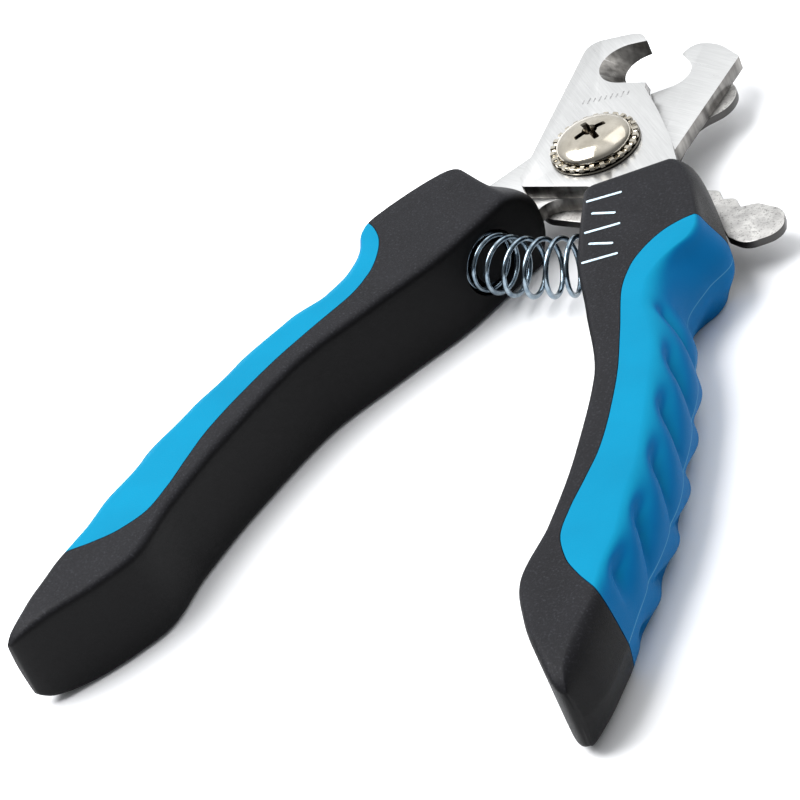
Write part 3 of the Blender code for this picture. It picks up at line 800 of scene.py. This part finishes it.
def makeBlade(lever):
    blade = blades[lever]
    low, high = blade["low"], blade["high"]
    outline = rounded(blade["head"] + blades["tang"])
    piece = makeMesh(blade["piece"], prism(outline, low, outline, high), lever)
    (x0, y0, r0), (x1, y1, r1) = blade["notchLow"], blade["notchHigh"]
    over = 0.5  # the cut runs on past both faces by this share of the thickness
    dx, dr = (x1 - x0) * over, (r1 - r0) * over
    below = notchPlan(x0 - dx, y0, r0 - dr, blade["flares"])
    above = notchPlan(x1 + dx, y1, r1 + dr, blade["flares"])
    cut(piece, prism(below, low - over * (high - low), above, high + over * (high - low)), lever)
    for x, y, radius in [(0.0, 0.0, blades["bore"])] + blades["posts"]:
        hole = circle(x, y, radius, 64)
        cut(piece, prism(hole, low - 1, hole, high + 1), lever)
    softenEdges(piece, blades["edgeBevel"], 35)
    settle(piece, lever, blade["node"],
           brushedSteel(f"{blade['piece']}_steel", blade["brushing"]), 25)


for lever in ("right", "left"):
    makeBlade(lever)
print("blades made")


# the pivot's stack, from the screw's head down to the nut: radii, and heights from the blades' plane
stack = {
    "headLow": 4.05, "headRim": 0.15, "headDome": 2.5, "headRadius": 6.95,
    "shank": 2.5, "shankEnd": -9.1,
    "recessTurn": 41, "recessLength": 6.1, "recessWidth": 1.1, "recessDepth": 1.9,
    "recessTaper": (0.72, 1.12),  # the slots' size at their floor and above the dome
    "wellDepth": 2.7,
    "crownTeeth": 26, "crownInner": 2.9, "crownOuter": 8.15, "crownLow": 3.5, "crownHigh": 4.25,
    "crownPlate": 0.35,  # its thickness inside the teeth
    "toothRoot": 7.15, "toothDraw": 0.28,  # where the teeth start, and how far the gaps draw in
    "plainWasher": (2.8, 8.3, 2.95, 3.3),
    "lowWasher": (2.8, 6.4, -5.1, -4.65),
    "nutFlats": 8.0, "nutLow": -8.8, "nutHigh": -5.3,
}


def makeScrew(finish):
    low, rim, dome, radius = (stack[k] for k in ("headLow", "headRim", "headDome", "headRadius"))
    shank, end = stack["shank"], stack["shankEnd"]
    edge = [(radius - 0.15, low), (radius, low + 0.15)]
    arc = [(radius * math.cos(a), low + rim + dome * math.sin(a))
           for a in (math.radians(3 * i) for i in range(31))]
    profile = [(0, end), (shank - 0.4, end), (shank, end + 0.4), (shank, low)] + edge
    profile += arc[:-1] + [(0, arc[-1][1])]
    screw = makeMesh("domed_screw", turnedRing(profile, 128))
    crest = low + rim + dome
    long, wide = stack["recessLength"] / 2, stack["recessWidth"] / 2
    for i in range(2):
        turn = Matrix.Rotation(-math.radians(stack["recessTurn"] + 90 * i), 2)
        plans = []
        for grow in stack["recessTaper"]:
            corners = [(-long * grow, -wide * grow, 0.25), (long * grow, -wide * grow, 0.25),
                       (long * grow, wide * grow, 0.25), (-long * grow, wide * grow, 0.25)]
            plan = []
            for x, y in rounded(corners, 30):
                spun = Vector((x, y))
                spun.rotate(turn)
                plan.append(tuple(spun))
            plans.append(plan)
        cut(screw, prism(plans[0], crest - stack["recessDepth"], plans[1], crest + 0.4))
    floor, top = crest - stack["wellDepth"], crest + 0.5
    cut(screw, turnedRing([(0, floor), (0.4, floor), (1.65, top), (0, top)], 48))
    softenEdges(screw, 0.07, 38)
    settle(screw, "stack", "pivot_screw", finish, 30)


def makeCrownWasher(finish):
    # a ring whose outer edge is pressed up into short radial teeth
    inner, outer, low, high = (stack[k] for k in ("crownInner", "crownOuter", "crownLow", "crownHigh"))
    teeth = stack["crownTeeth"]
    valley = low + stack["crownPlate"]
    root, draw = stack["toothRoot"], stack["toothDraw"]
    count = teeth * 14
    points, faces = [], []
    for i in range(count):
        turn = 2 * math.pi * i / count
        wave = 0.5 + 0.5 * math.cos(turn * teeth)
        crown = smoothstep((wave - 0.28) / 0.34)
        rim = outer - draw * (1 - crown)
        tip = valley + (high - valley) * crown
        for radius, z in ((inner, low), (rim - 0.12, low), (rim, low + 0.12), (rim, tip - 0.1),
                          (rim - 0.1, tip), (root + 0.1, tip), (root, valley), (inner, valley)):
            points.append(Vector((radius * math.cos(turn), radius * math.sin(turn), z)))
    for i in range(count):
        j = (i + 1) % count
        for k in range(8):
            over = (k + 1) % 8
            faces.append([i * 8 + k, j * 8 + k, j * 8 + over, i * 8 + over])
    washer = makeMesh("crown_washer", (points, faces))
    settle(washer, "stack", "toothed_washer", finish, 28)


def makePlainWasher(name, node, sizes, finish):
    inner, outer, low, high = sizes
    edge = 0.1
    washer = makeMesh(name, turnedRing([
        (inner + edge, low), (outer - edge, low), (outer, low + edge), (outer, high - edge),
        (outer - edge, high), (inner + edge, high), (inner, high - edge), (inner, low + edge)]))
    settle(washer, "stack", node, finish, 30)


def makeNut(finish):
    low, high = stack["nutLow"], stack["nutHigh"]
    hexagon = circle(0, 0, stack["nutFlats"] / math.sqrt(3), 6)
    nut = makeMesh("hexagon_nut", prism(hexagon, low, hexagon, high))
    cut(nut, turnedRing([(0, low), (3.9, low), (4.7, low + 0.5), (4.7, high - 0.5), (3.9, high),
                         (0, high)], 72), "stack", "INTERSECT")
    bore = stack["shank"] + 0.1
    cut(nut, turnedRing([(0, low - 1), (bore + 1.4, low - 1), (bore, low + 0.4), (bore, high + 1),
                         (0, high + 1)], 64))
    softenEdges(nut, 0.1, 40)
    settle(nut, "stack", "pivot_nut", finish, 30)


nickel = nickelPlate("warm_nickel")
headCrest = stack["headLow"] + stack["headRim"] + stack["headDome"]
makeScrew(nickelPlate("warm_nickel_head", recessBelow=headCrest - 0.42))
makeCrownWasher(nickel)
# the plain washer, sitting under the crown washer, takes the nickel darkened to 0.35 as painted shade
makePlainWasher("plain_washer", "flat_washer", stack["plainWasher"], nickelPlate("shaded_nickel", 0.35))
makePlainWasher("low_washer", "friction_washer", stack["lowWasher"], nickel)
makeNut(nickel)
print("pivot stack made")


guard = {
    "top": -3.0, "thickness": 1.5, "edgeBevel": 0.16,
    "tip": (11.2, 20.4, 6.0),
    "hub": [(3.9, 15.2, 5.0), (-6.0, 12.2, 6.0), (-12.2, 4.0, 6.0), (-11.4, -8.2, 5.0),
            (-6.6, -12.8, 5.0), (3.0, -14.0, 5.0), (9.4, -10.8, 4.0)],
    "tab": [(19.0, -8.8, 2.0), (24.2, -8.8, 1.2), (31.0, -17.4, 1.5), (35.0, -19.2, 4.5),
            (40.9, -15.6, 5.0), (38.8, -9.8, 4.0), (33.0, -8.2, 2.0), (30.2, -9.3, 0.3),
            (28.4, -7.0, 1.4), (26.0, -7.2, 0.3), (24.4, -5.0, 1.4), (21.6, -4.9, 0.5),
            (14.5, -4.5, 2.0), (12.6, 4.0, 4.0), (12.1, 11.6, 3.0)],
}


def makeGuard():
    x, y, radius = guard["tip"]
    reach = radius / math.cos(math.radians(22.5))
    angles = [math.radians(turn - 67.5) for turn in range(0, 270, 45)]
    tip = [(x + reach * math.cos(a), y + reach * math.sin(a), radius) for a in angles]
    outline = rounded(tip + guard["hub"] + guard["tab"])
    low, high = guard["top"] - guard["thickness"], guard["top"]
    plate = makeMesh("guard_plate", prism(outline, low, outline, high), "guard")
    hole = circle(0, 0, blades["bore"], 64)
    cut(plate, prism(hole, low - 1, hole, high + 1), "guard")
    softenEdges(plate, guard["edgeBevel"], 35, 3)
    settle(plate, "guard", "nail_guard", tumbledSteel(), 30)


makeGuard()
print("guard made")


spring = {
    "wire": 0.475, "coil": 5.0, "pitch": 3.05, "closedTurns": 0.9, "closedGap": 0.12,
    "phase": 200, "perTurn": 48, "wireSides": 14,
}


def makeSpring():
    half = math.radians(levers["right"]["turn"])
    seat = handle["seatFloor"] - 0.3 - spring["wire"]
    station = handle["seatStation"]
    end = Vector((seat * math.cos(half) + station * math.sin(half),
                  seat * math.sin(half) - station * math.cos(half)))
    bend = end.x / math.sin(half)
    centreY = end.y + bend * math.cos(half)
    length = 2 * half * bend
    closed = spring["closedTurns"]
    closedPitch = 2 * spring["wire"] + spring["closedGap"]
    turns = (length - 2 * closed * closedPitch) / spring["pitch"] + 2 * closed
    advance = curveThrough([(0, 0), (closed, closed * closedPitch),
                            (turns - closed, length - closed * closedPitch), (turns, length)])
    path = []
    for i in range(math.floor(turns * spring["perTurn"]) + 1):
        angle = 2 * math.pi * i / spring["perTurn"] + math.radians(spring["phase"])
        swing = advance(i / spring["perTurn"]) / bend - half
        out = Vector((math.sin(swing), -math.cos(swing), 0))
        middle = Vector((0, centreY, handle["midPlane"])) + out * bend
        spoke = out * math.cos(angle) + Vector((0, 0, math.sin(angle)))
        path.append((middle + spoke * spring["coil"], spoke))
    rings = []
    sides = [2 * math.pi * k / spring["wireSides"] for k in range(spring["wireSides"])]
    for i, (place, spoke) in enumerate(path):
        run = (path[min(i + 1, len(path) - 1)][0] - path[max(i - 1, 0)][0]).normalized()
        across = run.cross(spoke).normalized()
        ends = min(i, len(path) - 1 - i)
        radius = spring["wire"] * (1 if ends > 1 else 0.94 if ends == 1 else 0.7)
        rings.append([place + radius * (math.cos(a) * spoke + math.sin(a) * across) for a in sides])
    coil = makeMesh("bent_return_spring", loft(rings))
    shadeSmooth(coil, 60)
    coil.data.materials.append(springChrome())
    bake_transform(coil)
    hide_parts("return_spring")


makeSpring()
print("spring made")


# plain printed strokes on the right handle, and a row of etched ticks on the upper blade
marks = {
    "inkThickness": 0.03,
    "ink": [  # (x, station, length, lean in degrees, half width)
        (5.4, 22.6, 6.4, 8, 0.28), (5.8, 27.2, 4.6, -14, 0.28), (6.0, 31.4, 6.4, 8, 0.28),
        (6.2, 35.6, 4.6, -14, 0.28), (6.4, 39.6, 6.4, 8, 0.28),
    ],
    "etchDepth": 0.02,
    "ticks": 9,
    "tickRow": (-3.9, 14.6),
    "tickStep": (1.05, 0.0),
}


def strip(x, y, length, lean, half, low, high):
    # one flat stroke with round ends
    run = Vector((math.cos(math.radians(lean)), math.sin(math.radians(lean))))
    across = Vector((-run.y, run.x))
    outline = []
    for turn, end in ((-90, 1), (90, -1)):
        for k in range(9):
            a = math.radians(turn + 22.5 * k)
            spot = run * (end * (length / 2 - half)) + run * (half * math.cos(a))
            spot += across * (half * math.sin(a))
            outline.append((x + spot.x, y + spot.y))
    return prism(outline, low, outline, high)


def joinShapes(shapes):
    points, faces = [], []
    for more, sides in shapes:
        faces += [[len(points) + k for k in side] for side in sides]
        points += more
    return points, faces


def makeMarks():
    top = handle["midPlane"] + handle["halfThickness"]
    strokes = [strip(x, -station, length, lean, half, top + 0.005, top + marks["inkThickness"])
               for x, station, length, lean, half in marks["ink"]]
    ink = makeMesh("printed_strokes", joinShapes(strokes), "right")
    settle(ink, "right", None, paleInk())
    face = blades["right"]["high"]
    x, y = marks["tickRow"]
    dx, dy = marks["tickStep"]
    ticks = [strip(x + dx * k, y + dy * k, 1.7 if k % 2 else 1.2, 76, 0.13, face + 0.003,
                   face + marks["etchDepth"]) for k in range(marks["ticks"])]
    etched = makeMesh("etched_ticks", joinShapes(ticks), "right")
    settle(etched, "right", None, etchedGrey())


makeMarks()
print("marks made")


studio = {
    "floorHalf": 3.0,
    "paper": ((0.90, 0.905, 0.92), (0.92, 0.925, 0.94)),
    "worldFloor": 0.25,  # the sky's strength all round
    "worldGlow": 1.0,  # what a wide pale screen behind and to the left adds
    "screen": (-0.40, 0.50, 0.77),
    "key": {"place": (-0.55, -0.20, 1.10), "size": 1.0, "power": 26.0},
    "fill": {"place": (0.3, 0.9, 1.0), "size": 0.9, "power": 3.0},
    "place": (308.6, -429.8, 347.9),  # the camera from the pivot, in millimetres
    "azimuth": 41.10,
    "elevation": 35.59,
    "roll": -24.84,
    "lens": 161.06,
}


def makeFloor():
    half = studio["floorHalf"]
    mesh = bpy.data.meshes.new("floor")
    mesh.from_pydata([(-half, -half, 0), (half, -half, 0), (half, half, 0), (-half, half, 0)], [],
                     [(0, 1, 2, 3)])
    floor = bpy.data.objects.new("floor", mesh)
    bpy.context.scene.collection.objects.link(floor)
    n = Nodes("white_paper")
    fibres = n.noise(60.0, 2.0)
    mesh.materials.append(n.finish(n.span(fibres, 0.3, 0.7, studio["paper"]),
                                   n.span(fibres, 0.3, 0.7, (0.85, 0.95)), Specular_IOR_Level=0.0))


def makeLight(name, lamp):
    data = bpy.data.lights.new(name, "AREA")
    data.energy = lamp["power"]
    data.shape = "SQUARE"
    data.size = lamp["size"]
    light = bpy.data.objects.new(name, data)
    light.location = lamp["place"]
    light.rotation_euler = (-Vector(lamp["place"])).to_track_quat("-Z", "Y").to_euler()
    bpy.context.scene.collection.objects.link(light)


def makeWorld():
    world = bpy.data.worlds.new("studio")
    bpy.context.scene.world = world
    world.use_nodes = True
    tree = world.node_tree
    background = tree.nodes["Background"]
    direction = tree.nodes.new("ShaderNodeTexCoord").outputs["Generated"]
    facing = tree.nodes.new("ShaderNodeVectorMath")
    facing.operation = "DOT_PRODUCT"
    facing.inputs[1].default_value = Vector(studio["screen"]).normalized()
    tree.links.new(direction, facing.inputs[0])
    lift = tree.nodes.new("ShaderNodeMapRange")
    lift.interpolation_type = "SMOOTHSTEP"
    lift.inputs["From Min"].default_value = 0.1
    lift.inputs["From Max"].default_value = 0.95
    lift.inputs["To Min"].default_value = studio["worldFloor"]
    lift.inputs["To Max"].default_value = studio["worldFloor"] + studio["worldGlow"]
    tree.links.new(facing.outputs["Value"], lift.inputs["Value"])
    tree.links.new(lift.outputs[0], background.inputs["Strength"])
    background.inputs["Color"].default_value = (0.97, 0.985, 1.0, 1)


def makeCamera():
    az, el, roll = (math.radians(studio[k]) for k in ("azimuth", "elevation", "roll"))
    back = Vector((math.sin(az) * math.cos(el), -math.cos(az) * math.cos(el), math.sin(el)))
    right = (-back).cross(Vector((0, 0, 1))).normalized()
    up = right.cross(-back)
    tiltedRight = math.cos(roll) * right + math.sin(roll) * up
    tiltedUp = math.cos(roll) * up - math.sin(roll) * right
    data = bpy.data.cameras.new("camera")
    data.lens = studio["lens"]
    data.sensor_width = 36.0
    data.clip_start = 0.05
    data.clip_end = 20
    camera = bpy.data.objects.new("camera", data)
    bpy.context.scene.collection.objects.link(camera)
    turn = Matrix((tiltedRight, tiltedUp, back)).transposed().to_4x4()
    camera.matrix_world = Matrix.Translation((pivot + Vector(studio["place"])) * mm) @ turn
    bpy.context.scene.camera = camera


makeFloor()
makeLight("key", studio["key"])
makeLight("fill", studio["fill"])
makeWorld()
makeCamera()
bpy.context.scene.view_settings.view_transform = "Standard"
print("studio made")
